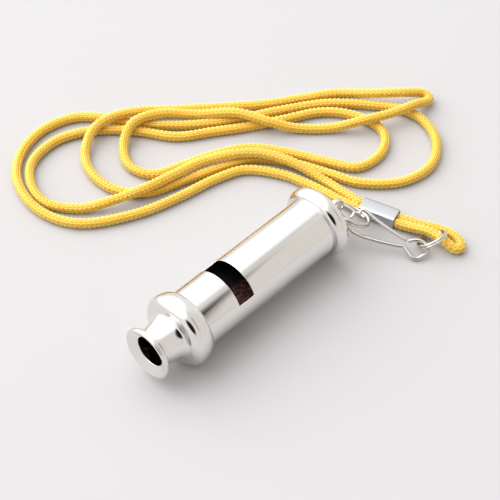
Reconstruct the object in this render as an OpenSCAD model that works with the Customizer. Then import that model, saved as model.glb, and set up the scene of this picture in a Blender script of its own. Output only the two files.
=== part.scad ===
// Two-chamber training whistle on a neck cord.
// The whistle lies on its side along X, with its mouth at -X, and rests on its collar and its cap.
// The split ring, the snap hook, the link ring, the clamp and the cord lie beside its capped end.

/* [Whistle] */
// Length of the whistle from the mouth to the end of the cap, without the eye
whistle_len = 74.5; // [70:0.5:90]
// Outer diameter of the collar and of the cap, which the whistle rests on
bead_d = 23.6; // [22:0.2:26]
// Outer diameter of the drawn tube
tube_d = 19; // [17:0.5:20]
// Thickness of the tube's wall
tube_wall = 0.5; // [0.4:0.1:1]
// Diameter of the hole in the mouth
mouth_bore_d = 10; // [8:0.5:11]

/* [Sound windows] */
// Distance from the mouth to the edge that the air leaves
window_start = 29.5; // [28:0.5:38]
// Width of each window along the whistle
window_w = 6; // [5:0.2:8]
// Height of the window's straight side edges above the whistle's middle
window_edge = 3.6; // [3:0.2:5]
// Depth of the slit that the air passes under the tube's wall
windway_gap = 1.4; // [1:0.1:2]

/* [Eye and rings] */
// Outer diameter of the eye on the cap
eye_d = 7.4; // [7:0.2:9]
// Diameter of the hole in the eye
eye_hole_d = 4.2; // [4:0.1:5]
// Thickness of the eye
eye_t = 1.6; // [1.2:0.1:1.8]
// Diameter across the middle of the split ring's wire
split_ring_d = 13.2; // [13:0.1:13.6]
// Thickness of the split ring's wire
split_wire_d = 0.95; // [0.8:0.05:1]
// Diameter across the middle of the link ring's wire
link_ring_d = 9.2; // [9:0.1:9.6]
// Thickness of the link ring's wire
link_wire_d = 0.8; // [0.6:0.05:0.9]
// Thickness of the snap hook's wire
hook_wire_d = 1.2; // [1:0.05:1.3]

/* [Cord and clamp] */
// Diameter of the braided cord
cord_d = 3.4; // [3:0.1:3.5]
// Length of the folded metal clamp
clamp_len = 12; // [10:0.5:13]
// Width of the clamp outside
clamp_w = 5.7; // [5.7:0.1:6]
// Height of the clamp outside
clamp_h = 4.3; // [4.2:0.1:4.6]
// Thickness of the clamp's sheet
clamp_t = 0.35; // [0.3:0.05:0.35]

/* [Hidden] */
$fn = 64;

bead_r = bead_d / 2;
tube_r = tube_d / 2;
bore_r = tube_r - tube_wall;
axis_z = bead_r;

// The eye's middle stands 5 past the cap, and the origin is under the middle of the whistle with its eye.
eye_reach = 5 + eye_d / 2;
mouth_x = -(whistle_len + eye_reach) / 2;
eye_x = mouth_x + whistle_len + 5;

// Mouthpiece, measured from the mouth: a rolled lip round a dished face, a neck and the collar
rim_r = 8.45;
rim_at = 0.9;
rim_end = 2.5;
lip_d = 1.2;
waist_r = 6.2;
collar_start = 9.7;
collar_peak = 12.8;
collar_end = 17.3;
tube_start = 11.5;
dish_depth = 1.7;
bore_end = 9.7;

// Cap, measured from the mouth
cap_lip = whistle_len - 5.2;
cap_peak = whistle_len - 2.2;
cap_plate_t = 2;
lip_r = tube_r + 0.3;
stem_r = 1.2;
washer_t = 1;

divider_t = 1;
windway_block_start = 16.5;
stop_t = 1.2;
upper_stop_at = 62.5;
lower_stop_at = 56.5;

// Points along a quarter of an ellipse, from angle a0 to angle a1
function arc(cx, cy, rx, ry, a0, a1, steps = 8) =
    [for (i = [0:steps]) let (a = a0 + (a1 - a0) * i / steps) [cx + rx * cos(a), cy + ry * sin(a)]];

// Lists of points joined end to end
function joined(lists) = [for (part = lists) for (p = part) p];

// A smooth curve through given points, with steps pieces between each pair
function curve_point(a, b, c, d, t) =
    0.5 * (2 * b + (c - a) * t + (2 * a - 5 * b + 4 * c - d) * t * t + (3 * b - a - 3 * c + d) * t * t * t);
function smooth_path(pts, steps) = let (last = len(pts) - 1) joined([
    [for (i = [0:last - 1]) for (k = [0:steps - 1])
        curve_point(pts[max(i - 1, 0)], pts[i], pts[i + 1], pts[min(i + 2, last)], k / steps)],
    [pts[last]]]);

function unit(v) = v / norm(v);

// A wire or cord swept along a path of points, flattened sideways by the factors in squeeze
module swept(path, d, sides, squeeze = []) {
    last = len(path) - 1;
    rings = [for (i = [0:last])
        let (along = unit(path[min(i + 1, last)] - path[max(i - 1, 0)]),
             side = unit(cross([0, 0, 1], along)),
             up = cross(along, side),
             wide = len(squeeze) == 0 ? 1 : squeeze[i])
        for (k = [0:sides - 1])
            let (a = 360 * (k + 0.5) / sides)
            path[i] + d / 2 * (wide * cos(a) * side + sin(a) * up)];
    faces = joined([
        [[for (k = [0:sides - 1]) k]],
        [for (i = [0:last - 1]) for (k = [0:sides - 1])
            let (a = i * sides + k, b = i * sides + (k + 1) % sides) [a, a + sides, b + sides, b]],
        [[for (k = [sides - 1:-1:0]) last * sides + k]]]);
    polyhedron(points = rings, faces = faces, convexity = 10);
}

// Stands a shape that is drawn along Z on the whistle's axis, at a distance from the mouth
module on_axis(from_mouth) {
    translate([mouth_x + from_mouth, 0, axis_z]) rotate([0, 90, 0]) children();
}

// A solid of revolution about the whistle's axis: each point is a distance from the mouth and a radius
module turned(outline) {
    on_axis(0) rotate_extrude() polygon([for (p = outline) [p[1], p[0]]]);
}

module mouthpiece() {
    outside = joined([
        arc(lip_d / 2, rim_r - lip_d / 2, lip_d / 2, lip_d / 2, 200, 90),
        arc(rim_at, waist_r, rim_end - rim_at, rim_r - waist_r, 90, 0),
        [[3.4, 6.15], [5.5, 6.4], [8, 6.95]],
        arc(collar_peak, 8, collar_peak - collar_start, bead_r - 8, 180, 90),
        arc(collar_peak, tube_r + 0.2, collar_end - collar_peak, bead_r - tube_r - 0.2, 90, 0)]);
    inside = [[collar_end, tube_r], [tube_start, tube_r], [tube_start, bore_r], [bore_end, mouth_bore_d / 2],
              [dish_depth, mouth_bore_d / 2]];
    color("gainsboro") turned(joined([outside, inside]));
}

module window_cut(side) {
    translate([mouth_x + window_start, -tube_r, side > 0 ? axis_z + window_edge : axis_z - window_edge - tube_r])
        cube([window_w, tube_d, tube_r]);
}

module body_tube() {
    color("gainsboro") difference() {
        on_axis(tube_start) cylinder(h = whistle_len - cap_plate_t - tube_start, r = tube_r);
        on_axis(0) cylinder(h = whistle_len, r = bore_r);
        window_cut(1);
        window_cut(-1);
    }
}

module end_cap() {
    outside = joined([
        [[cap_lip, tube_r], [cap_lip, lip_r]],
        arc(cap_peak, lip_r, cap_peak - cap_lip, bead_r - lip_r, 180, 90),
        arc(cap_peak, lip_r, whistle_len - cap_peak, bead_r - lip_r, 90, 0)]);
    plate = whistle_len - cap_plate_t;
    color("gainsboro")
        turned(joined([outside, [[whistle_len, stem_r], [plate, stem_r], [plate, tube_r]]]));
}

module divider_plate() {
    color("dimgray") intersection() {
        on_axis(windway_block_start - 2) cylinder(h = whistle_len - cap_plate_t - windway_block_start - 2, r = bore_r);
        translate([mouth_x, -tube_r, axis_z - divider_t / 2]) cube([whistle_len, tube_d, divider_t]);
    }
}

// A slice of one chamber, from the divider out to a height above it, on the upper or the lower side
module chamber_slice(from, length, height, side) {
    low = divider_t / 2;
    intersection() {
        on_axis(from) cylinder(h = length, r = bore_r);
        translate([mouth_x, -tube_r, side > 0 ? axis_z + low : axis_z - height])
            cube([whistle_len, tube_d, height - low]);
    }
}

module windway_block(side) {
    color("dimgray") chamber_slice(windway_block_start, window_start - windway_block_start,
        bore_r - windway_gap, side);
}

module chamber_stop(at, side) {
    color("dimgray") chamber_slice(at, stop_t, bore_r, side);
}

module cap_eye() {
    corner = 0.35;
    color("gainsboro") difference() {
        union() {
            translate([eye_x, 0, axis_z]) rotate([90, 0, 0]) rotate_extrude() {
                translate([eye_hole_d / 2, corner - eye_t / 2])
                    square([(eye_d - eye_hole_d) / 2, eye_t - 2 * corner]);
                translate([eye_hole_d / 2 + corner, -eye_t / 2])
                    square([(eye_d - eye_hole_d) / 2 - 2 * corner, eye_t]);
                for (r = [eye_hole_d / 2 + corner, eye_d / 2 - corner], h = [-1, 1])
                    translate([r, h * (eye_t / 2 - corner)]) circle(r = corner);
            }
            on_axis(whistle_len - cap_plate_t - washer_t - 0.4) cylinder(h = cap_plate_t + washer_t + 2.6, r = stem_r);
        }
        translate([eye_x, eye_t, axis_z]) rotate([90, 0, 0]) cylinder(h = 2 * eye_t, r = eye_hole_d / 2);
    }
}

module eye_washer() {
    color("gray") on_axis(whistle_len - cap_plate_t - washer_t) difference() {
        cylinder(h = washer_t, r = 3.6);
        translate([0, 0, -1]) cylinder(h = washer_t + 2, r = stem_r);
    }
}

// Two turns of wire that lie one on the other
module wound_ring(ring_d, wire_d) {
    rotate_extrude() for (h = [-1, 1])
        translate([ring_d / 2, h * 0.44 * wire_d]) circle(d = wire_d, $fn = 24);
}

// The places of the rings, the hook, the clamp and the cord are given for an eye at x = 38.65, and the
// pieces move with the eye.
lanyard_x = eye_x - 38.65;
module beside_eye() {
    translate([lanyard_x, 0, 0]) children();
}

// The split ring leans on the rim of the eye's hole and slopes down to the hook.
split_ring_at = [43.1, -2.5, 7.9];
split_ring_lean = 32;
split_ring_turn = 2;
module split_ring() {
    color("silver") translate(split_ring_at) rotate([0, split_ring_lean, split_ring_turn])
        wound_ring(split_ring_d, split_wire_d);
}

// The link ring passes through the hook's round end and the cord's end loop.
link_ring_at = [56.2, -25.2, 3.8];
link_ring_tilt = -40;
module link_ring() {
    color("silver") translate(link_ring_at) rotate([link_ring_tilt, 0, 0]) wound_ring(link_ring_d, link_wire_d);
}

// The hook's own plane: X runs from its round end to its nose, and Z is square to the wire.
hook_at = [50.7, -23.7, 2.4];
hook_turn = [-25, -14, 107];
hook_split = 3.6;
module in_hook_plane() {
    translate(hook_at) rotate(hook_turn) children();
}

// One wire forms the round end, the long arm, the nose and the short arm with its tip turned across.
hook_round_end = [[hook_split - 0.3, -1], [1.8, -2.3], [0.2, -3], [-1.5, -2.9], [-3, -1.8], [-3.2, -0.6],
                  [-2.6, 0.9], [-1.6, 2.4], [0, 2.8], [1.8, 2.1], [3.6, 1.3]];
hook_long_arm = [[6.2, 2.2], [10.7, 3.6], [14.8, 4.6], [17.2, 5], [19.8, 5], [21.8, 4.1], [23.6, 3]];
hook_nose = [[25.6, 2.1], [27.2, 1.5], [28, 0.6], [27.4, -0.5], [26, -0.8], [23.4, -0.9]];
hook_tip = [[22.3, -0.6], [22.1, 0.4], [22.3, 1.7]];
module snap_hook() {
    path = smooth_path(joined([hook_round_end, hook_long_arm, hook_nose, hook_tip]), 2);
    color("silver") in_hook_plane() swept([for (p = path) [p[0], p[1], 0]], hook_wire_d, 10);
}

// The springy arm that closes the hook, with its end bent round the hook's tip
hook_latch_arm = [[hook_split + 0.3, -1], [6, -1], [10, -1.3], [14.5, -1.8], [17.2, -2.3], [19, -2.7],
                  [20.3, -2.5], [20.8, -1.8], [20.5, -0.8]];
module hook_latch() {
    path = smooth_path(hook_latch_arm, 2);
    color("silver") in_hook_plane() swept([for (p = path) [p[0], p[1], 0]], hook_wire_d, 10);
}

// The clamp: a sheet folded round both strands of the cord, where its two ends meet
clamp_at = [54.4, -5.2];
clamp_turn = -73;
module rounded_rect(w, h, r) {
    hull() for (x = [-1, 1], y = [-1, 1]) translate([x * (w / 2 - r), y * (h / 2 - r)]) circle(r = r, $fn = 24);
}
module cord_clamp() {
    color("silver") translate([clamp_at[0], clamp_at[1], clamp_h / 2]) rotate([90, 0, clamp_turn + 90])
        translate([0, 0, -clamp_len / 2]) linear_extrude(clamp_len) difference() {
            rounded_rect(clamp_w, clamp_h, 1);
            rounded_rect(clamp_w - 2 * clamp_t, clamp_h - 2 * clamp_t, 0.6);
        }
}

// Where the middle of the cord lies: x, y and height, in order along its one length.
// It leaves the clamp beside the hook and runs back to the bundle.
cord_from_clamp = [[52.8, -5.2, 2.15], [51.4, 0.6, 2.15], [50.3, 6, 1.8], [49.5, 13, 1.7], [48, 21, 1.7],
                   [45.5, 29, 1.7], [39, 38.5, 1.7], [29, 42.5, 1.7], [16, 45, 1.7], [2, 49, 1.7]];
// The outermost turn: round the far left end, along the back and round the right end
cord_outer_turn = [[-12, 57, 1.7], [-18, 66, 1.7], [-19, 77, 1.7], [-15, 88, 1.7], [-7, 95.5, 1.7], [4, 99, 1.7],
                   [15, 97, 1.7], [22, 91, 1.7], [28, 81, 1.7], [39, 68, 1.7], [52, 58, 1.7], [67, 49.5, 1.7],
                   [80, 41, 1.7], [89, 31, 1.7], [95, 22, 1.7], [96.5, 13, 1.7], [92, 3, 1.7], [82, -3, 1.7],
                   [70, -1, 1.7], [60.5, 8, 1.7], [56.5, 18, 1.7], [52.5, 28, 1.7], [46.5, 38, 1.7],
                   [38, 43.5, 1.7], [24, 48.5, 1.7], [11, 53, 1.7]];
// The second turn: over the first at the back left, and out to the tight fold at the far right
cord_second_turn = [[4, 61, 1.7], [3, 71, 1.7], [7, 80, 1.8], [15, 85, 4.3], [23, 84.5, 5.3], [32, 81, 4.2],
                    [41, 76, 1.9], [54, 65, 1.7], [66, 55, 1.7], [77, 48, 1.7], [87, 41, 1.7], [93, 31, 4.2],
                    [99, 24.5, 4.8], [106, 20.5, 2.4]];
// Back from the fold, over two strands, round the small left turn and along the top of the bundle
cord_third_turn = [[104.5, 17, 2.4], [97, 17.5, 5.1], [89, 20, 5.1], [80, 25, 4.5], [72, 32, 1.9], [64, 40, 2.1],
                   [58, 47, 4.6], [53, 56.5, 5.6], [45, 67.5, 2.9], [36, 75, 4.5], [26, 77.5, 5.2],
                   [18.5, 74, 1.9], [14, 66, 1.8], [17, 58, 1.7], [27, 54, 1.7], [38, 50, 1.7], [47, 44.5, 1.7],
                   [54, 34.5, 1.7], [60, 22, 1.7], [65, 13.5, 1.7], [74, 12, 1.7], [81.5, 16, 1.7], [84, 23, 1.7]];
// The last turn: inside the first at the left, over the bundle, and back to the clamp
cord_last_turn = [[81, 33, 1.7], [75, 40, 1.7], [65, 45.5, 1.7], [54.5, 51.5, 1.7], [44, 58.5, 1.7],
                  [34, 65.5, 1.7], [26.5, 77, 1.7], [17.5, 86.5, 1.7], [6, 92, 1.7], [-6, 90.5, 1.7],
                  [-13.5, 83, 1.7], [-15.5, 73, 1.7], [-10, 64, 1.7], [-1, 57.5, 3.6], [9, 53, 5.1],
                  [20, 51, 4.8], [30, 49.5, 4], [39, 44, 5.1], [46, 37, 5.1], [50.5, 27, 4.2], [53, 17, 1.8],
                  [53.4, 9, 1.8], [53.7, 1.2, 2.15], [55.5, -4.9, 2.15]];
// The end loop that holds the link ring, and back into the clamp, where the two ends meet
cord_end_loop = [[57.2, -10.8, 2.15], [59.4, -16.5, 1.8], [62.4, -22.5, 1.7], [63.6, -27.5, 1.7], [62.7, -31.2, 1.7],
                 [60.9, -33, 1.8], [59.1, -32, 2.3], [58.4, -28.8, 3.7], [58.3, -25, 3.8], [57.9, -21.5, 3.7],
                 [56.6, -16.5, 2.4], [54.8, -11.6, 2.15], [53, -5.8, 2.15]];
cord_route = joined([cord_from_clamp, cord_outer_turn, cord_second_turn, cord_third_turn, cord_last_turn,
                     cord_end_loop]);
squeezed_w = (clamp_w - 2 * clamp_t - 0.2) / 2 / cord_d;
module neck_cord() {
    clamp_reach = clamp_len / 2 + 1;
    widths = [for (p = cord_route)
        let (away = norm([p[0] - clamp_at[0], p[1] - clamp_at[1]]))
        away < clamp_reach ? squeezed_w : min(1, squeezed_w + (away - clamp_reach) / 10)];
    color("orange") swept(cord_route, cord_d, 8, widths);
}

body_tube();
mouthpiece();
end_cap();
divider_plate();
windway_block(1);  // upper_windway_block
windway_block(-1);  // lower_windway_block
chamber_stop(upper_stop_at, 1);  // upper_chamber_stop
chamber_stop(lower_stop_at, -1);  // lower_chamber_stop
cap_eye();
eye_washer();
beside_eye() split_ring();
beside_eye() snap_hook();
beside_eye() hook_latch();
beside_eye() link_ring();
beside_eye() cord_clamp();
beside_eye() neck_cord();
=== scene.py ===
import math

import bmesh
import bpy
from mathutils import Euler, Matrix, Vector


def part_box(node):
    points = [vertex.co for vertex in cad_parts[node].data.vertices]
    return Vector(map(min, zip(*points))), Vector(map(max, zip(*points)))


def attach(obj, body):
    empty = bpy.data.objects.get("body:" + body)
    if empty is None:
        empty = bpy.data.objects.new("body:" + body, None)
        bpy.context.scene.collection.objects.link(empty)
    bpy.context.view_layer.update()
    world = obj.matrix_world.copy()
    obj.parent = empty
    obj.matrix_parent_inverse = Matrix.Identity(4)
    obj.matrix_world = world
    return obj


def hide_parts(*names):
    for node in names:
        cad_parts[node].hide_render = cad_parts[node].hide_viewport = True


# The training whistle on its neck cord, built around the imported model. Sizes are in millimetres until they
# are multiplied by mm.
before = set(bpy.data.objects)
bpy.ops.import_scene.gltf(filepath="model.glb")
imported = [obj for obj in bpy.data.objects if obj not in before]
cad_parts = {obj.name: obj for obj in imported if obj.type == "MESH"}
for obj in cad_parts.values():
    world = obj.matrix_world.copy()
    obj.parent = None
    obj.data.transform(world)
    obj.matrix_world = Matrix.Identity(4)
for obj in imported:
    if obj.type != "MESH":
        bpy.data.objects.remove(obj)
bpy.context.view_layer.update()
mm = 0.001
scene = bpy.context.scene


# ---------------------------------------------------------------- Camera
# It looks down at the whistle from the side of its mouth, with a long lens.
camera_place = Vector((-237.0, -232.5, 392.1)) * mm
looks_at = Vector((15.5, 14.2, 0)) * mm
camera_data = bpy.data.cameras.new("camera")
camera_data.lens = 122.7
camera_data.clip_start = 0.01
camera = bpy.data.objects.new("camera", camera_data)
camera.location = camera_place
camera.rotation_euler = (looks_at - camera_place).to_track_quat("-Z", "Y").to_euler()
scene.collection.objects.link(camera)
scene.camera = camera


# ---------------------------------------------------------------- Neck cord
# A soft braided cord of synthetic yarn, golden yellow and 3.4 mm thick. It is one length that starts and
# ends inside the metal clamp, and lies in four loose turns, with a short loop that holds the link ring.


def build_node(tree, kind, *values, **settings):
    """A node of that kind, with its settings, and a value or a link for each input in order."""
    made = tree.nodes.new(kind)
    for name, value in settings.items():
        setattr(made, name, value)
    for socket, value in zip(made.inputs, values):
        if isinstance(value, bpy.types.NodeSocket):
            tree.links.new(value, socket)
        elif value is not None:
            socket.default_value = value
    return made


def math_node(tree, operation, a, b=0.0, c=0.0):
    return build_node(tree, "ShaderNodeMath", a, b, c, operation=operation).outputs[0]


def vector_math(tree, operation, a, b=None, output=0):
    return build_node(tree, "ShaderNodeVectorMath", a, b, operation=operation).outputs[output]


def finished(name, mesh_object, body, *nodes, slot=None):
    """A plain mesh piece from an object and its modifiers, which rides on a body and stands for CAD nodes."""
    graph = bpy.context.evaluated_depsgraph_get()
    mesh = bpy.data.meshes.new_from_object(mesh_object.evaluated_get(graph))
    bpy.data.objects.remove(mesh_object)
    piece = bpy.data.objects.new(name, mesh)
    mesh.name = name
    scene.collection.objects.link(piece)
    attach(piece, body)
    if nodes:
        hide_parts(*nodes)
    return piece


def smooth_line(points, step):
    """Points about one step apart on a smooth curve through the given points."""
    points = [Vector(p) for p in points]
    line = []
    for i in range(len(points) - 1):
        before, a, b = points[max(i - 1, 0)], points[i], points[i + 1]
        after = points[min(i + 2, len(points) - 1)]
        count = max(1, round((b - a).length / step))
        for k in range(count):
            t = k / count
            line.append(0.5 * (2 * a + (b - before) * t + (2 * before - 5 * a + 4 * b - after) * t ** 2
                               + (3 * a - before - 3 * b + after) * t ** 3))
    return line + [points[-1]]


cord_diameter = 3.4
cord_from_clamp = [(52.8, -5.2, 2.15), (51.4, 0.6, 2.15), (50.3, 6, 1.8), (49.5, 13, 1.7), (48, 21, 1.7),
                   (45.5, 29, 1.7), (39, 38.5, 1.7), (29, 42.5, 1.7), (16, 45, 1.7), (2, 49, 1.7)]
cord_outer_turn = [(-12, 57, 1.7), (-18, 66, 1.7), (-19, 77, 1.7), (-15, 88, 1.7), (-7, 95.5, 1.7),
                   (4, 99, 1.7), (15, 97, 1.7), (22, 91, 1.7), (28, 81, 1.7), (39, 68, 1.7), (52, 58, 1.7),
                   (67, 49.5, 1.7), (80, 41, 1.7), (89, 31, 1.7), (95, 22, 1.7), (96.5, 13, 1.7),
                   (92, 3, 1.7), (82, -3, 1.7), (70, -1, 1.7), (60.5, 8, 1.7), (56.5, 18, 1.7),
                   (52.5, 28, 1.7), (46.5, 38, 1.7), (38, 43.5, 1.7), (24, 48.5, 1.7), (11, 53, 1.7)]
cord_second_turn = [(4, 61, 1.7), (3, 71, 1.7), (7, 80, 1.8), (15, 85, 4.3), (23, 84.5, 5.3), (32, 81, 4.2),
                    (41, 76, 1.9), (54, 65, 1.7), (66, 55, 1.7), (77, 48, 1.7), (87, 41, 1.7), (93, 31, 4.2),
                    (99, 24.5, 4.8), (106, 20.5, 2.4)]
cord_third_turn = [(104.5, 17, 2.4), (97, 17.5, 5.1), (89, 20, 5.1), (80, 25, 4.5), (72, 32, 1.9),
                   (64, 40, 2.1), (58, 47, 4.6), (53, 56.5, 5.6), (45, 67.5, 2.9), (36, 75, 4.5),
                   (26, 77.5, 5.2), (18.5, 74, 1.9), (14, 66, 1.8), (17, 58, 1.7), (27, 54, 1.7),
                   (38, 50, 1.7), (47, 44.5, 1.7), (54, 34.5, 1.7), (60, 22, 1.7), (65, 13.5, 1.7),
                   (74, 12, 1.7), (81.5, 16, 1.7), (84, 23, 1.7)]
cord_last_turn = [(81, 33, 1.7), (75, 40, 1.7), (65, 45.5, 1.7), (54.5, 51.5, 1.7), (44, 58.5, 1.7),
                  (34, 65.5, 1.7), (26.5, 77, 1.7), (17.5, 86.5, 1.7), (6, 92, 1.7), (-6, 90.5, 1.7),
                  (-13.5, 83, 1.7), (-15.5, 73, 1.7), (-10, 64, 1.7), (-1, 57.5, 3.6), (9, 53, 5.1),
                  (20, 51, 4.8), (30, 49.5, 4), (39, 44, 5.1), (46, 37, 5.1), (50.5, 27, 4.2), (53, 17, 1.8),
                  (53.4, 9, 1.8), (53.7, 1.2, 2.15), (55.5, -4.9, 2.15)]
cord_end_loop = [(57.2, -10.8, 2.15), (59.4, -16.5, 1.8), (62.4, -22.5, 1.7), (63.6, -27.5, 1.7),
                 (62.7, -31.2, 1.7), (60.9, -33, 1.8), (59.1, -32, 2.3), (58.4, -28.8, 3.7), (58.3, -25, 3.8),
                 (57.9, -21.5, 3.7), (56.6, -16.5, 2.4), (54.8, -11.6, 2.15), (53, -5.8, 2.15)]
cord_route = (cord_from_clamp + cord_outer_turn + cord_second_turn + cord_third_turn + cord_last_turn
              + cord_end_loop)
# The route and the hardware are drawn for an eye at lanyard_eye_x, and move with the eye.
lanyard_eye_x, eye_reach = 38.65, 3.7
eye_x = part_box("cap_eye")[1].x / mm - eye_reach
beside_eye = Vector((eye_x - lanyard_eye_x, 0, 0))
cord_line = [(Vector((p.x, p.y, max(p.z, cord_diameter / 2))) + beside_eye) * mm
             for p in smooth_line(cord_route, 1.5)]


def braid_tree():
    """Knitted V stitches along a curve: rows that follow the V, with a groove between rows and columns."""
    tree = bpy.data.node_groups.new("braided_cord", "GeometryNodeTree")
    for name, kind in (("Geometry", "NodeSocketGeometry"), ("Diameter", "NodeSocketFloat"),
                       ("Stitch Length", "NodeSocketFloat"), ("Columns", "NodeSocketInt"),
                       ("Groove Depth", "NodeSocketFloat"), ("Clamp", "NodeSocketVector"),
                       ("Clamp Reach", "NodeSocketFloat"), ("Squeezed Width", "NodeSocketFloat"),
                       ("Material", "NodeSocketMaterial")):
        tree.interface.new_socket(name, in_out="INPUT", socket_type=kind)
    tree.interface.new_socket("Geometry", in_out="OUTPUT", socket_type="NodeSocketGeometry")
    given = {socket.name: socket for socket in tree.nodes.new("NodeGroupInput").outputs}
    calc = lambda operation, *values: math_node(tree, operation, *values)
    length = build_node(tree, "GeometryNodeCurveLength", given["Geometry"]).outputs[0]
    rows = calc("ROUND", calc("DIVIDE", length, given["Stitch Length"]))
    rings = calc("ADD", calc("MULTIPLY", rows, 4.0), 1.0)
    around = calc("ADD", calc("MULTIPLY", given["Columns"], 4.0), 1.0)
    grid = build_node(tree, "GeometryNodeMeshGrid", 1.0, 1.0, rings, around)
    flat = build_node(tree, "ShaderNodeSeparateXYZ", build_node(tree, "GeometryNodeInputPosition").outputs[0])
    row = calc("MULTIPLY", calc("ADD", flat.outputs[0], 0.5), rows)
    column = calc("MULTIPLY", calc("ADD", flat.outputs[1], 0.5), given["Columns"])
    pair = build_node(tree, "ShaderNodeCombineXYZ", row, column, 0.0).outputs[0]
    kept = build_node(tree, "GeometryNodeStoreNamedAttribute", grid.outputs[0], True, "UVMap", pair,
                      data_type="FLOAT2", domain="CORNER").outputs[0]
    # A V leans back from the middle of its column to both sides.
    in_column = calc("FRACT", calc("ADD", column, 0.001))
    lean = calc("ABSOLUTE", calc("SUBTRACT", calc("MULTIPLY", in_column, 2.0), 1.0))
    along = calc("MULTIPLY", calc("ADD", row, calc("MULTIPLY", lean, 0.9)), given["Stitch Length"])
    spot = build_node(tree, "GeometryNodeSampleCurve", given["Geometry"], mode="LENGTH", use_all_curves=True)
    tree.links.new(calc("MINIMUM", along, length), spot.inputs["Length"])
    place, ahead, side = spot.outputs["Position"], spot.outputs["Tangent"], spot.outputs["Normal"]
    upward = vector_math(tree, "CROSS_PRODUCT", ahead, side)
    # The groove runs between rows, down the middle of each V and between columns.
    in_row = calc("FRACT", calc("ADD", row, 0.001))
    row_ridge = calc("SINE", calc("MULTIPLY", in_row, math.pi))
    column_ridge = calc("ABSOLUTE", calc("SINE", calc("MULTIPLY", in_column, 2 * math.pi)))
    middle = calc("MULTIPLY", calc("LESS_THAN", lean, 0.3), 0.45)
    ridge = calc("MULTIPLY", row_ridge, calc("MAXIMUM", column_ridge, middle))
    radius = calc("SUBTRACT", calc("DIVIDE", given["Diameter"], 2.0),
                  calc("MULTIPLY", calc("SUBTRACT", 1.0, ridge), given["Groove Depth"]))
    # Both ends close to a point, and the cord is narrower inside the clamp.
    open_end = calc("LESS_THAN", row, calc("SUBTRACT", rows, 0.1))
    radius = calc("MULTIPLY", radius, calc("MULTIPLY", calc("GREATER_THAN", row, 0.1), open_end))
    away = vector_math(tree, "DISTANCE", place, given["Clamp"], output="Value")
    reach = given["Clamp Reach"]
    width = build_node(tree, "ShaderNodeMapRange", away, reach, calc("MULTIPLY", reach, 1.25),
                       given["Squeezed Width"], 1.0).outputs[0]
    angle = calc("MULTIPLY", calc("DIVIDE", column, given["Columns"]), 2 * math.pi)
    sideways = build_node(tree, "ShaderNodeVectorMath", side, operation="SCALE")
    tree.links.new(calc("MULTIPLY", calc("MULTIPLY", calc("COSINE", angle), radius), width),
                   sideways.inputs["Scale"])
    rise = build_node(tree, "ShaderNodeVectorMath", upward, operation="SCALE")
    tree.links.new(calc("MULTIPLY", calc("SINE", angle), radius), rise.inputs["Scale"])
    outward = vector_math(tree, "ADD", sideways.outputs[0], rise.outputs[0])
    on_cord = vector_math(tree, "ADD", place, outward)
    placed = build_node(tree, "GeometryNodeSetPosition", kept, True, on_cord)
    welded = build_node(tree, "GeometryNodeMergeByDistance", placed.outputs[0])
    welded.inputs["Distance"].default_value = 0.000002
    smooth = build_node(tree, "GeometryNodeSetShadeSmooth", welded.outputs[0])
    solid = build_node(tree, "GeometryNodeRealizeInstances", smooth.outputs[0])
    coated = build_node(tree, "GeometryNodeSetMaterial", solid.outputs[0])
    tree.links.new(given["Material"], coated.inputs["Material"])
    build_node(tree, "NodeGroupOutput", coated.outputs[0])
    return tree


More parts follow.
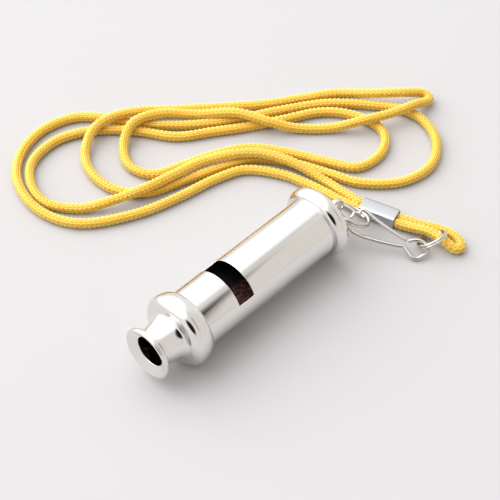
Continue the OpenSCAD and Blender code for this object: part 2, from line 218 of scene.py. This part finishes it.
def yarn_material():
    """Glossy synthetic yarn with fine fibres: a painted highlight on the ridges, and painted shade, deep
    orange, down in the grooves.
    """
    material = bpy.data.materials.new("golden_yarn")
    material.use_nodes = True
    tree = material.node_tree
    shader = tree.nodes["Principled BSDF"]
    shader.inputs["Roughness"].default_value = 0.42
    shader.inputs["Sheen Weight"].default_value = 0.15
    shader.inputs["Sheen Roughness"].default_value = 0.4
    uv = build_node(tree, "ShaderNodeUVMap", uv_map="UVMap").outputs[0]
    place = build_node(tree, "ShaderNodeSeparateXYZ", uv)
    row, column = place.outputs[0], place.outputs[1]
    in_row = math_node(tree, "FRACT", row)
    turned_column = math_node(tree, "MULTIPLY", column, 2 * math.pi)
    across = math_node(tree, "ABSOLUTE", math_node(tree, "SINE", turned_column))
    between = math_node(tree, "SINE", math_node(tree, "MULTIPLY", in_row, math.pi))
    height = math_node(tree, "MULTIPLY", math_node(tree, "POWER", across, 0.6),
                       math_node(tree, "POWER", between, 0.6))
    fibre_place = build_node(tree, "ShaderNodeCombineXYZ", math_node(tree, "MULTIPLY", row, 9.0),
                             math_node(tree, "MULTIPLY", column, 2.0), 0.0).outputs[0]
    fibres = build_node(tree, "ShaderNodeTexNoise", fibre_place)
    fibres.inputs["Scale"].default_value = 1.0
    fibres.inputs["Detail"].default_value = 2.0
    patches = build_node(tree, "ShaderNodeTexNoise",
                         build_node(tree, "ShaderNodeTexCoord").outputs["Object"])
    patches.inputs["Scale"].default_value = 60.0
    # The ramp paints shade, deep orange, into the grooves and a pale yellow painted highlight onto the
    # ridges, round the yarn's own golden yellow in the middle.
    tone = build_node(tree, "ShaderNodeValToRGB",
                      math_node(tree, "ADD", math_node(tree, "MULTIPLY", height, 0.8),
                                math_node(tree, "MULTIPLY", fibres.outputs["Fac"], 0.25)))
    tone.color_ramp.elements[0].position = 0.12
    tone.color_ramp.elements[0].color = (0.9, 0.28, 0.0, 1)
    tone.color_ramp.elements[1].position = 0.92
    tone.color_ramp.elements[1].color = (1.0, 0.82, 0.2, 1)
    middle = tone.color_ramp.elements.new(0.5)
    middle.color = (1.0, 0.58, 0.022, 1)
    fading = build_node(tree, "ShaderNodeMapRange", patches.outputs["Fac"], 0.3, 0.7, 0.95, 1.03)
    varied = build_node(tree, "ShaderNodeHueSaturation")
    tree.links.new(tone.outputs[0], varied.inputs["Color"])
    tree.links.new(fading.outputs[0], varied.inputs["Value"])
    tree.links.new(varied.outputs[0], shader.inputs["Base Color"])
    bump = build_node(tree, "ShaderNodeBump")
    bump.inputs["Strength"].default_value = 0.6
    bump.inputs["Distance"].default_value = 0.0002
    tree.links.new(math_node(tree, "ADD", height, math_node(tree, "MULTIPLY", fibres.outputs["Fac"], 0.5)),
                   bump.inputs["Height"])
    tree.links.new(bump.outputs[0], shader.inputs["Normal"])
    return material


golden_yarn = yarn_material()
clamp_place = (Vector((54.4, -5.2, 2.15)) + beside_eye) * mm
curve_data = bpy.data.curves.new("cord_curve", "CURVE")
curve_data.dimensions = "3D"
curve_data.twist_mode = "Z_UP"
spline = curve_data.splines.new("POLY")
spline.points.add(len(cord_line) - 1)
for point, place in zip(spline.points, cord_line):
    point.co = (*place, 1)
cord_curve = bpy.data.objects.new("cord_curve", curve_data)
scene.collection.objects.link(cord_curve)
braid = cord_curve.modifiers.new("braid", "NODES")
braid.node_group = braid_tree()
braid_values = {"Diameter": cord_diameter * mm, "Stitch Length": 1.45 * mm, "Columns": 6,
                "Groove Depth": 0.5 * mm, "Clamp": clamp_place, "Clamp Reach": 6.3 * mm,
                "Squeezed Width": 0.7, "Material": golden_yarn}
for socket in braid.node_group.interface.items_tree:
    if socket.in_out == "INPUT" and socket.name in braid_values:
        braid[socket.identifier] = braid_values[socket.name]
neck_cord = finished("braided_neck_cord", cord_curve, "lanyard", "neck_cord", slot="cord_braid")


# ---------------------------------------------------------------- Whistle metal
# Brass tube and turnings under bright nickel plate. The three shells are turned or drawn, soldered together
# and polished as one, so their faces are mirrors with only faint polishing marks.


def polish_group():
    """Faint polishing marks and smudges: a small change of gloss and a very low relief."""
    tree = bpy.data.node_groups.new("polish_marks", "ShaderNodeTree")
    for name, value in (("Scale", 400.0), ("Gloss", 0.05), ("Spread", 0.05)):
        socket = tree.interface.new_socket(name, in_out="INPUT", socket_type="NodeSocketFloat")
        socket.default_value = value
    tree.interface.new_socket("Roughness", in_out="OUTPUT", socket_type="NodeSocketFloat")
    tree.interface.new_socket("Height", in_out="OUTPUT", socket_type="NodeSocketFloat")
    given = tree.nodes.new("NodeGroupInput")
    place = build_node(tree, "ShaderNodeTexCoord").outputs["Object"]
    smudges = build_node(tree, "ShaderNodeTexNoise", place)
    tree.links.new(given.outputs["Scale"], smudges.inputs["Scale"])
    smudges.inputs["Detail"].default_value = 3.0
    rough = math_node(tree, "MULTIPLY_ADD", smudges.outputs["Fac"], given.outputs["Spread"],
                      given.outputs["Gloss"])
    fine = build_node(tree, "ShaderNodeTexNoise", place)
    tree.links.new(math_node(tree, "MULTIPLY", given.outputs["Scale"], 6.0), fine.inputs["Scale"])
    build_node(tree, "NodeGroupOutput", rough, fine.outputs["Fac"])
    return tree


polish_marks = polish_group()


def plated(name, colour, gloss, spread, scale, relief):
    """A plated metal: its colour, its roughness and how far that varies, and its marks' scale and relief."""
    material = bpy.data.materials.new(name)
    material.use_nodes = True
    tree = material.node_tree
    shader = tree.nodes["Principled BSDF"]
    shader.inputs["Base Color"].default_value = (*colour, 1)
    shader.inputs["Metallic"].default_value = 1.0
    marks = tree.nodes.new("ShaderNodeGroup")
    marks.node_tree = polish_marks
    marks.inputs["Scale"].default_value = scale
    marks.inputs["Gloss"].default_value = gloss
    marks.inputs["Spread"].default_value = spread
    tree.links.new(marks.outputs["Roughness"], shader.inputs["Roughness"])
    bump = build_node(tree, "ShaderNodeBump")
    bump.inputs["Strength"].default_value = relief
    bump.inputs["Distance"].default_value = 0.00001
    tree.links.new(marks.outputs["Height"], bump.inputs["Height"])
    tree.links.new(bump.outputs[0], shader.inputs["Normal"])
    return material


bright_nickel = plated("bright_nickel", (0.79, 0.775, 0.757), 0.02, 0.03, 120.0, 0.15)

mouth_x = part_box("mouthpiece")[0].x / mm
axis_z = (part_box("mouthpiece")[0].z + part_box("mouthpiece")[1].z) / 2 / mm
bead_r = (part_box("mouthpiece")[1].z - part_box("mouthpiece")[0].z) / 2 / mm
tube_r = (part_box("body_tube")[1].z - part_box("body_tube")[0].z) / 2 / mm
whistle_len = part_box("end_cap")[1].x / mm - mouth_x


def arc(cx, cy, rx, ry, a0, a1, steps=24):
    """Points along a part of an ellipse, from angle a0 to angle a1 in degrees."""
    angles = [math.radians(a0 + (a1 - a0) * k / steps) for k in range(steps + 1)]
    return [(cx + rx * math.cos(a), cy + ry * math.sin(a)) for a in angles]


def around_axis(along, radius, angle):
    """A place in metres, from a distance from the mouth, a radius about the whistle's axis, and an angle."""
    return Vector((mouth_x + along, -radius * math.sin(angle), axis_z + radius * math.cos(angle))) * mm


def turned(name, outline, material, sharp=60, segments=192):
    """A closed turning about the whistle's axis: each outline point is a distance and a radius."""
    mesh = bmesh.new()
    angles = [2 * math.pi * k / segments for k in range(segments)]
    rings = [[mesh.verts.new(around_axis(along, radius, a)) for a in angles] for along, radius in outline]
    for here, there in zip(rings, rings[1:] + rings[:1]):
        for k in range(segments):
            n = (k + 1) % segments
            mesh.faces.new((here[k], here[n], there[n], there[k]))
    bmesh.ops.recalc_face_normals(mesh, faces=mesh.faces)
    data = bpy.data.meshes.new(name)
    mesh.to_mesh(data)
    mesh.free()
    data.shade_smooth()
    data.set_sharp_from_angle(angle=math.radians(sharp))
    data.materials.append(material)
    made = bpy.data.objects.new(name, data)
    scene.collection.objects.link(made)
    return made


# The mouthpiece is one turning: a rolled lip round a dished face, a neck, and the collar that takes the tube.
rim_r, rim_at, rim_end, lip_d, waist_r = 8.45, 0.9, 2.5, 1.2, 6.2
collar_start, collar_peak, collar_end = 9.7, 12.8, 17.3
mouth_bore_r, bore_end, dish_depth, tube_start, tube_wall = 5, 9.7, 1.7, 11.5, 0.5
mouth_outline = ([(dish_depth + 0.25, mouth_bore_r)]
                 + arc(dish_depth + 0.12, mouth_bore_r + 0.2, 0.2, 0.2, 250, 190, 6)
                 + arc(lip_d / 2, rim_r - lip_d / 2, lip_d / 2, lip_d / 2, 205, 92, 20)
                 + arc(rim_at, waist_r, rim_end - rim_at, rim_r - waist_r, 88, 6, 28)
                 + [(2.7, 6.15), (3.4, 6.12), (4.4, 6.2), (5.5, 6.38), (6.6, 6.6), (7.7, 6.9), (8.6, 7.25),
                    (9.2, 7.6), (9.6, 8)]
                 + arc(collar_peak, 8, collar_peak - collar_start, bead_r - 8, 174, 90, 32)
                 + arc(collar_peak, tube_r + 0.2, collar_end - collar_peak, bead_r - tube_r - 0.2, 87, 0, 32)
                 + [(collar_end, tube_r), (tube_start, tube_r), (tube_start, tube_r - tube_wall),
                    (bore_end, mouth_bore_r)])
mouth = turned("mouth_and_collar", mouth_outline, bright_nickel)
finished("mouth_and_collar", mouth, "whistle", "mouthpiece", slot="nickel_plate")

# The cap is pressed over the tube's end and soldered: a thin lip, a rolled bead and a drilled flat end.
cap_lip, cap_peak, lip_r, shank_r, cap_plate = whistle_len - 5.2, whistle_len - 2.2, tube_r + 0.3, 1.2, 2
cap_outline = ([(cap_lip, tube_r), (cap_lip, lip_r - 0.08), (cap_lip + 0.08, lip_r)]
               + arc(cap_peak, lip_r, cap_peak - cap_lip, bead_r - lip_r, 176, 90, 28)
               + arc(cap_peak, lip_r, whistle_len - cap_peak, bead_r - lip_r, 86, 0, 28)
               + [(whistle_len, shank_r), (whistle_len - cap_plate, shank_r),
                  (whistle_len - cap_plate, tube_r)])
cap = turned("end_cap_shell", cap_outline, bright_nickel)
finished("end_cap_shell", cap, "whistle", "end_cap", slot="nickel_plate")


# ---------------------------------------------------------------- Tube with its sound windows
# The drawn tube, with a window cut across its top and another across its underside. The wall is half a
# millimetre, and the cut edges are eased by the polishing.
window_start, window_w, window_edge = 29.5, 6, 3.6
tube_end = whistle_len - cap_plate


def tube_shell(material):
    """The tube's outside, without its two windows, given its wall by modifiers."""
    half = math.acos(window_edge / tube_r)
    mesh = bmesh.new()
    window_steps, side_steps = 96, 32
    angles = ([-half + 2 * half * k / window_steps for k in range(window_steps)]
              + [half + (math.pi - 2 * half) * k / side_steps for k in range(side_steps)]
              + [math.pi - half + 2 * half * k / window_steps for k in range(window_steps)]
              + [math.pi + half + (math.pi - 2 * half) * k / side_steps for k in range(side_steps)])
    half_turn = window_steps + side_steps
    window_columns = {k for k in range(2 * half_turn) if k % half_turn < window_steps}
    stations = [tube_start, 22, window_start, window_start + window_w, 50, 62, tube_end]
    rings = [[mesh.verts.new(around_axis(s, tube_r, a)) for a in angles] for s in stations]
    for i in range(len(stations) - 1):
        for k in range(len(angles)):
            if stations[i] == window_start and k in window_columns:
                continue
            n = (k + 1) % len(angles)
            mesh.faces.new((rings[i][k], rings[i + 1][k], rings[i + 1][n], rings[i][n]))
    bmesh.ops.recalc_face_normals(mesh, faces=mesh.faces)
    data = bpy.data.meshes.new("tube")
    mesh.to_mesh(data)
    mesh.free()
    made = bpy.data.objects.new("tube", data)
    scene.collection.objects.link(made)
    data.materials.append(material)
    wall = made.modifiers.new("wall", "SOLIDIFY")
    wall.thickness = tube_wall * mm
    wall.offset = -1
    eased = made.modifiers.new("eased", "BEVEL")
    eased.width = 0.2 * mm
    eased.segments = 3
    eased.limit_method = "ANGLE"
    eased.angle_limit = math.radians(50)
    eased.harden_normals = True
    data.shade_smooth()
    return made


finished("drawn_tube", tube_shell(bright_nickel), "whistle", "body_tube", slot="nickel_plate")


# ---------------------------------------------------------------- Rings
# The split ring in the whistle's eye and the smaller link ring in the cord's end loop are each two turns of
# plated steel wire, wound tight. Each turn steps over the other where the wire's cut ends meet.
plated_wire = plated("plated_wire", (0.66, 0.63, 0.6), 0.1, 0.12, 500.0, 0.4)


def wire(name, line, diameter, material, sides=16):
    """A round wire along a line of points in metres, with flat, slightly eased ends."""
    mesh = bmesh.new()
    radius = diameter / 2
    side = None
    rings = []
    last = len(line) - 1
    for i, place in enumerate(line):
        ahead = (line[min(i + 1, last)] - line[max(i - 1, 0)]).normalized()
        side = ahead.orthogonal() if side is None else side - ahead * side.dot(ahead)
        side.normalize()
        up = ahead.cross(side)
        steps = [(0, 1)]
        if i == 0:
            steps = [(0, 0.8), (0.12, 0.95), (0.3, 1)]
        elif i == last:
            steps = [(-0.3, 1), (-0.12, 0.95), (0, 0.8)]
        for shift, scale in steps:
            rings.append([mesh.verts.new(place + ahead * shift * radius
                                         + (side * math.cos(a) + up * math.sin(a)) * radius * scale)
                          for a in (2 * math.pi * k / sides for k in range(sides))])
    for here, there in zip(rings, rings[1:]):
        for k in range(sides):
            n = (k + 1) % sides
            mesh.faces.new((here[k], here[n], there[n], there[k]))
    mesh.faces.new(rings[0])
    mesh.faces.new(rings[-1])
    bmesh.ops.recalc_face_normals(mesh, faces=mesh.faces)
    data = bpy.data.meshes.new(name)
    mesh.to_mesh(data)
    mesh.free()
    data.shade_smooth()
    data.set_sharp_from_angle(angle=math.radians(50))
    data.materials.append(material)
    made = bpy.data.objects.new(name, data)
    scene.collection.objects.link(made)
    return made


def wound_ring(name, place, turn, ring_d, wire_d, cut, body, node):
    """Two turns of wire, one on the other, with the step beside the cut ends at the angle called cut."""
    turned_by = Euler([math.radians(a) for a in turn]).to_matrix()
    line = []
    for degrees in range(22, 699, 4):
        step = min(max((degrees - 342) / 36, 0), 1)
        rise = (3 * step ** 2 - 2 * step ** 3) * 2 - 1
        angle = math.radians(degrees + cut)
        local = Vector((ring_d / 2 * math.cos(angle), ring_d / 2 * math.sin(angle), rise * 0.46 * wire_d))
        line.append((Vector(place) + beside_eye + turned_by @ local) * mm)
    made = wire(name, line, wire_d * 0.97 * mm, plated_wire)
    return finished(name, made, body, node, slot="ring_wire")


split_ring = wound_ring("wound_split_ring", (43.1, -2.5, 7.9), (0, 32, 2), 13.2, 0.95, 318,
                        "ring", "split_ring")
link_ring = wound_ring("wound_link_ring", (56.2, -25.2, 3.8), (-40, 0, 0), 9.2, 0.8, 20, "link", "link_ring")


# ---------------------------------------------------------------- Snap hook
# One length of springy steel wire, bent into a round end, two arms and a nose. The end of its shorter arm
# catches on the turned tip of the longer one, and is pushed aside to open the hook. The wire is drawn as two
# pieces, which part at hook_split, because that arm moves.
hook_wire_d, hook_split, half_gap = 1.2, 3.6, 0.3
hook_at, hook_turn = (50.7, -23.7, 2.4), (-25, -14, 107)
hook_round_end = [(hook_split - half_gap, -1), (1.8, -2.3), (0.2, -3), (-1.5, -2.9), (-3, -1.8), (-3.2, -0.6),
                  (-2.6, 0.9), (-1.6, 2.4), (0, 2.8), (1.8, 2.1), (3.6, 1.3)]
hook_long_arm = [(6.2, 2.2), (10.7, 3.6), (14.8, 4.6), (17.2, 5), (19.8, 5), (21.8, 4.1), (23.6, 3)]
hook_nose = [(25.6, 2.1), (27.2, 1.5), (28, 0.6), (27.4, -0.5), (26, -0.8), (23.4, -0.9)]
hook_tip = [(22.3, -0.6), (22.1, 0.4), (22.3, 1.7)]
hook_latch_arm = [(hook_split + half_gap, -1), (6, -1), (10, -1.3), (14.5, -1.8), (17.2, -2.3), (19, -2.7),
                  (20.3, -2.5), (20.8, -1.8), (20.5, -0.8)]
spring_wire = plated("spring_wire", (0.6, 0.565, 0.535), 0.1, 0.12, 500.0, 0.4)


def hook_wire(name, points, body, node):
    """A bent piece of the hook's wire, through points given flat and then turned into place."""
    turned_by = Euler([math.radians(a) for a in hook_turn]).to_matrix()
    line = [(Vector(hook_at) + beside_eye + turned_by @ p) * mm
            for p in smooth_line([(x, y, 0) for x, y in points], 0.4)]
    return finished(name, wire(name, line, hook_wire_d * mm, spring_wire), body, node, slot="hook_wire")


hook = hook_wire("bent_snap_hook", hook_round_end + hook_long_arm + hook_nose + hook_tip, "hook", "snap_hook")
latch = hook_wire("springy_latch_arm", hook_latch_arm, "latch", "hook_latch")


# ---------------------------------------------------------------- Cord clamp
# A strip of plated sheet, folded and pressed round both strands so that its two ends meet underneath. The top
# has a satin face, and the folds are rounded and brighter.
clamp_len, clamp_w, clamp_h, clamp_t, clamp_turn = 12, 5.7, 4.3, 0.35, -73
satin_sheet = plated("satin_sheet", (0.45, 0.465, 0.49), 0.16, 0.14, 700.0, 0.5)


def folded_clamp():
    """The sheet's section, from one end underneath round to the other, drawn out to the clamp's length."""
    half_w, half_h, fold = clamp_w / 2, clamp_h / 2, 1
    corners = [(half_w - fold, fold - half_h, 270), (half_w - fold, half_h - fold, 0),
               (fold - half_w, half_h - fold, 90), (fold - half_w, fold - half_h, 180)]
    section = [(0.08, -half_h)]
    for x, y, start in corners:
        section += arc(x, y, fold, fold, start, start + 90, 8)
    section.append((-0.08, -half_h))
    run = Vector((math.cos(math.radians(clamp_turn)), math.sin(math.radians(clamp_turn)), 0))
    side = Vector((0, 0, 1)).cross(run)
    middle = clamp_place + Vector((0, 0, (half_h - 2.15) * mm))
    stations = [-0.5, -0.46, -0.3, 0, 0.3, 0.46, 0.5]
    mesh = bmesh.new()
    rows = [[mesh.verts.new(middle + (run * clamp_len * t - side * x) * mm + Vector((0, 0, y * mm)))
             for x, y in section] for t in stations]
    for here, there in zip(rows, rows[1:]):
        for k in range(len(section) - 1):
            mesh.faces.new((here[k], here[k + 1], there[k + 1], there[k]))
    bmesh.ops.recalc_face_normals(mesh, faces=mesh.faces)
    mesh.faces.ensure_lookup_table()
    top = max(mesh.faces, key=lambda face: face.calc_center_median().z)
    if top.normal.z < 0:
        bmesh.ops.reverse_faces(mesh, faces=mesh.faces)
    data = bpy.data.meshes.new("folded_clamp")
    mesh.to_mesh(data)
    mesh.free()
    data.shade_smooth()
    data.materials.append(satin_sheet)
    made = bpy.data.objects.new("folded_clamp", data)
    scene.collection.objects.link(made)
    wall = made.modifiers.new("wall", "SOLIDIFY")
    wall.thickness = clamp_t * mm
    wall.offset = -1
    eased = made.modifiers.new("eased", "BEVEL")
    eased.width = 0.08 * mm
    eased.segments = 2
    eased.limit_method = "ANGLE"
    eased.angle_limit = math.radians(50)
    eased.harden_normals = True
    return made


clamp = finished("folded_clamp", folded_clamp(), "lanyard", "cord_clamp", slot="clamp_plate")


# ---------------------------------------------------------------- Inside the tube
# The divider, the windway blocks and the chamber stops are bare metal, in blotches from near black to dark
# reddish brown, with painted shade that turns their far side, away from the camera, black. They are soldered
# in before the ends go on, and only show through the windows and the mouth.


def bare_metal():
    material = bpy.data.materials.new("bare_inner_metal")
    material.use_nodes = True
    tree = material.node_tree
    shader = tree.nodes["Principled BSDF"]
    shader.inputs["Metallic"].default_value = 0.6
    place = build_node(tree, "ShaderNodeTexCoord").outputs["Object"]
    stains = build_node(tree, "ShaderNodeTexNoise", place)
    stains.inputs["Scale"].default_value = 900.0
    stains.inputs["Detail"].default_value = 6.0
    tone = build_node(tree, "ShaderNodeValToRGB", stains.outputs["Fac"])
    tone.color_ramp.elements[0].position = 0.42
    tone.color_ramp.elements[0].color = (0.006, 0.004, 0.004, 1)
    tone.color_ramp.elements[1].position = 0.72
    tone.color_ramp.elements[1].color = (0.16, 0.045, 0.03, 1)
    # Painted shade: the far side, at positive y and away from the camera, is dimmed to black.
    across = build_node(tree, "ShaderNodeSeparateXYZ", place).outputs[1]
    near_side = build_node(tree, "ShaderNodeMapRange", across, 0.0005, -0.001, 0.0, 1.0).outputs[0]
    painted_shade_dimmed = build_node(tree, "ShaderNodeHueSaturation")
    tree.links.new(tone.outputs[0], painted_shade_dimmed.inputs["Color"])
    tree.links.new(near_side, painted_shade_dimmed.inputs["Value"])
    tree.links.new(painted_shade_dimmed.outputs[0], shader.inputs["Base Color"])
    dullness = build_node(tree, "ShaderNodeMapRange", stains.outputs["Fac"], 0.3, 0.7, 0.45, 0.8)
    tree.links.new(dullness.outputs[0], shader.inputs["Roughness"])
    return material


inner_metal = bare_metal()
inner_nodes = ("divider_plate", "upper_windway_block", "lower_windway_block", "upper_chamber_stop",
               "lower_chamber_stop", "eye_washer")
for name in inner_nodes + ("cap_eye",):
    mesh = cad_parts[name].data
    mesh.materials.clear()
    mesh.materials.append(bright_nickel if name == "cap_eye" else inner_metal)


# ---------------------------------------------------------------- Stage
# A plain pale floor in a white tent, which has a soft bright side, a dark gap between its sheets, a darker
# near side, and a dark opening that the whistle is looked at through. One soft lamp deepens the shadows.


def floor_material():
    material = bpy.data.materials.new("pale_floor")
    material.use_nodes = True
    shader = material.node_tree.nodes["Principled BSDF"]
    shader.inputs["Base Color"].default_value = (0.485, 0.477, 0.49, 1)
    shader.inputs["Roughness"].default_value = 0.9
    return material


bpy.ops.mesh.primitive_plane_add(size=6, location=(0, 0, 0))
floor = bpy.context.object
floor.name = "floor"
floor.data.materials.append(floor_material())


def soft_light(name, place, target, size, power):
    """A square soft lamp in metres and watts, turned to its target."""
    data = bpy.data.lights.new(name, "AREA")
    data.shape = "SQUARE"
    data.size = size
    data.energy = power
    made = bpy.data.objects.new(name, data)
    made.location = place
    made.rotation_euler = (Vector(target) - Vector(place)).to_track_quat("-Z", "Y").to_euler()
    scene.collection.objects.link(made)


def room(strength):
    """The room's light, which the plating also reflects."""
    world = bpy.data.worlds.new("room")
    scene.world = world
    world.use_nodes = True
    tree = world.node_tree
    sky = tree.nodes["Background"]
    direction = build_node(tree, "ShaderNodeTexCoord").outputs["Generated"]

    def nearness(way):
        """The cosine of the angle to a direction."""
        return vector_math(tree, "DOT_PRODUCT", direction, Vector(way).normalized(), output="Value")

    def patch(way, inner, outer):
        """1 within the inner angle round a direction, falling to 0 at the outer one."""
        far, near = math.cos(math.radians(outer)), math.cos(math.radians(inner))
        return build_node(tree, "ShaderNodeMapRange", nearness(way), far, near, 0.0, 1.0).outputs[0]

    def laid_over(mask, below, colour):
        """A colour over another one, where the mask says."""
        return build_node(tree, "ShaderNodeMix", mask, None, None, None, None, None, below, (*colour, 1),
                          data_type="RGBA").outputs[2]

    # The gap between the tent's sheets is a thin ring, and is dark only on the near side.
    from_gap = math_node(tree, "ABSOLUTE", math_node(tree, "SUBTRACT", nearness((1, -0.173, 0.06)), 0.562))
    gap = build_node(tree, "ShaderNodeMapRange", from_gap, 0.012, 0.042, 1.0, 0.0).outputs[0]
    gap_depth = math_node(tree, "MULTIPLY_ADD", patch((0.36, -0.72, 0.6), 10, 26), 0.82, 0.14)
    near_side = build_node(tree, "ShaderNodeMapRange", nearness((0.2, -0.95, 0.1)), 0.2, 0.6, 0.0, 1.0)
    tone = laid_over(near_side.outputs[0], (1.0, 1.0, 1.0, 1.0), (0.84, 0.8, 0.76))
    tone = laid_over(math_node(tree, "MULTIPLY", gap, gap_depth), tone, (0.03, 0.03, 0.035))
    tone = laid_over(patch((-0.62, -0.6, 0.5), 16, 26), tone, (0.015, 0.015, 0.015))
    tone = laid_over(patch((-0.2, 0.6, 0.75), 5, 62), tone, (2.6, 2.57, 2.5))
    tree.links.new(tone, sky.inputs["Color"])
    sky.inputs["Strength"].default_value = strength


room(1.0)
soft_light("key", (-0.2, 0.6, 0.75), (0, 0.02, 0), 1.2, 6.0)

scene.view_settings.view_transform = "Standard"
